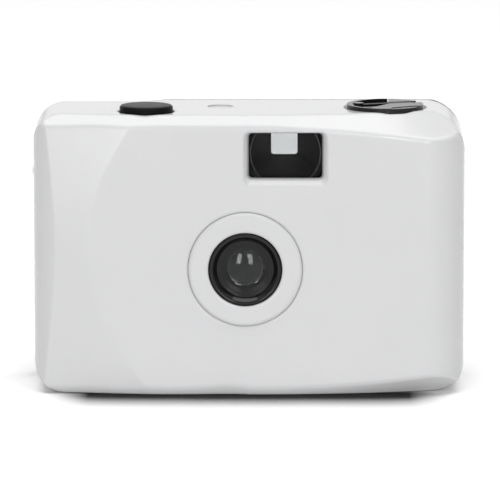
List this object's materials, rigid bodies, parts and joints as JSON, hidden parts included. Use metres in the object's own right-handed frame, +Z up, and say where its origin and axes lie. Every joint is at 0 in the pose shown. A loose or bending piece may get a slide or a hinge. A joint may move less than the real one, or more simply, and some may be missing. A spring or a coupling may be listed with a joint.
{
  "type": "reusable film camera",
  "caption": "Compact reusable 35 mm film camera with a fixed lens, a thumbwheel wind and an opening back.",
  "frame": {"origin": "middle of the flat base, under the box of the whole camera", "axes": "+X to the viewer's right when the lens faces the viewer, +Y from the lens to the back, +Z up"},
  "size_m": [0.1108, 0.0394, 0.0738],
  "materials": {
    "black_gloss": "gloss",
    "black_matte": "matt",
    "blackened_steel": "blackened",
    "clear_plastic": "clear, polished",
    "dial_white": "printed, satin",
    "foam": "soft foam",
    "knob_black": "satin",
    "lens_plastic": "clear, polished, faint coating",
    "plated_steel": "plated",
    "spring_steel": "bright",
    "white_gear": "self-lubricating, satin",
    "white_shell": "gloss"
  },
  "bodies": {
    "camera_body": {"aperture_disc": "blackened_steel", "button_spring": "spring_steel", "counter_post": "black_matte", "counter_window": "clear_plastic", "cover_screws": "plated_steel", "eyepiece_lens": "clear_plastic", "front_cover": "white_shell", "gear_plate": "black_matte", "hinge_pin": "plated_steel", "latch_spring": "spring_steel", "lens_bezel": "black_gloss", "lens_element": "lens_plastic", "lens_ring": "white_shell", "light_seals": "foam", "main_body": "black_matte", "plate_screws": "plated_steel", "ratchet_pawl": "white_gear", "rewind_release_spring": "spring_steel", "shutter_housing": "black_matte", "shutter_spring": "spring_steel", "strap_bar": "plated_steel", "thumbwheel_axle": "plated_steel", "viewfinder_tunnel": "black_gloss", "viewfinder_window": "clear_plastic"},
    "button": {"shutter_button": "knob_black"},
    "slide": {"release_slide": "black_matte"},
    "blade": {"shutter_blade": "blackened_steel"},
    "rewind_lift": {"rewind_retaining_ring": "spring_steel"},
    "rewind_spindle": {"rewind_knob": "knob_black", "rewind_shaft": "black_matte", "lever_pin": "plated_steel"},
    "crank": {"rewind_lever": "black_gloss"},
    "crank_peg": {"crank_handle": "black_gloss"},
    "wind_wheel": {"thumbwheel": "knob_black"},
    "take_up": {"take_up_spool": "black_matte", "take_up_gear": "white_gear"},
    "sprocket": {"sprocket_wheel": "black_matte", "sprocket_gear": "white_gear"},
    "counter": {"counter_dial": "dial_white"},
    "door": {"back_door": "black_matte", "door_window": "clear_plastic", "window_seal": "foam", "pressure_spring": "spring_steel"},
    "film_pressure": {"pressure_plate": "blackened_steel"},
    "latch": {"door_latch": "knob_black"},
    "rewind_release": {"rewind_release_button": "knob_black"}
  },
  "joints": [
    {"name": "shutter_button_press", "type": "slide", "parent": "camera_body", "child": "button", "axis": [0, 0, -1], "range_m": [0, 0.0014], "stiffness_N_per_m": 600, "deforming": ["button_spring"]},
    {"name": "release_slide_drop", "type": "slide", "parent": "camera_body", "child": "slide", "axis": [0, 0, -1], "range_m": [0, 0.0014]},
    {"name": "shutter_blade_swing", "type": "hinge", "parent": "camera_body", "child": "blade", "pos_m": [-0.0071, -0.0127, 0.0374], "axis": [0, -1, 0], "range_deg": [0, 38]},
    {"name": "rewind_lift", "type": "slide", "parent": "camera_body", "child": "rewind_lift", "axis": [0, 0, 1], "range_m": [0, 0.007]},
    {"name": "rewind_turn", "type": "hinge", "parent": "rewind_lift", "child": "rewind_spindle", "pos_m": [0.0348, -0.001, 0.072], "axis": [0, 0, 1], "continuous": true},
    {"name": "crank_fold", "type": "hinge", "parent": "rewind_spindle", "child": "crank", "pos_m": [0.042, 0.0029, 0.07255], "axis": [-0.3243, 0.9459, 0], "range_deg": [0, 150]},
    {"name": "crank_peg_turn", "type": "hinge", "parent": "crank", "child": "crank_peg", "pos_m": [0.028, -0.0019, 0.07255], "axis": [0, 0, 1], "continuous": true},
    {"name": "wind_wheel_turn", "type": "hinge", "parent": "camera_body", "child": "wind_wheel", "pos_m": [-0.03602, 0.0092, 0.0616], "axis": [0, 0, 1], "continuous": true},
    {"name": "take_up_turn", "type": "hinge", "parent": "camera_body", "child": "take_up", "pos_m": [-0.0419, 0.0005, 0.0328], "axis": [0, 0, 1], "continuous": true},
    {"name": "sprocket_turn", "type": "hinge", "parent": "camera_body", "child": "sprocket", "pos_m": [-0.02591, 0.00255, 0.0328], "axis": [0, 0, 1], "continuous": true},
    {"name": "counter_turn", "type": "hinge", "parent": "camera_body", "child": "counter", "pos_m": [-0.01411, 0.005, 0.072], "axis": [0, 0, 1], "continuous": true},
    {"name": "door_hinge", "type": "hinge", "parent": "camera_body", "child": "door", "pos_m": [-0.0526, 0.0155, 0.0328], "axis": [0, 0, 1], "range_deg": [0, 110]},
    {"name": "film_pressure_give", "type": "slide", "parent": "door", "child": "film_pressure", "axis": [0, 1, 0], "range_m": [0, 0.0008], "stiffness_N_per_m": 150, "deforming": ["pressure_spring"]},
    {"name": "door_latch_slide", "type": "slide", "parent": "camera_body", "child": "latch", "axis": [0, 0, -1], "range_m": [0, 0.005], "stiffness_N_per_m": 60, "deforming": ["latch_spring"]},
    {"name": "rewind_release_press", "type": "slide", "parent": "camera_body", "child": "rewind_release", "axis": [0, 0, 1], "range_m": [0, 0.0015], "stiffness_N_per_m": 300, "deforming": ["rewind_release_spring"]}
  ],
  "couplings": [
    {"joint": "release_slide_drop", "follows": "shutter_button_press", "ratio": 1},
    {"joint": "shutter_blade_swing", "follows": "shutter_button_press", "rad_per_m": 473.73},
    {"joint": "take_up_turn", "follows": "wind_wheel_turn", "ratio": -1},
    {"joint": "sprocket_turn", "follows": "wind_wheel_turn", "ratio": -0.76471},
    {"joint": "counter_turn", "follows": "wind_wheel_turn", "ratio": 0.020124}
  ]
}
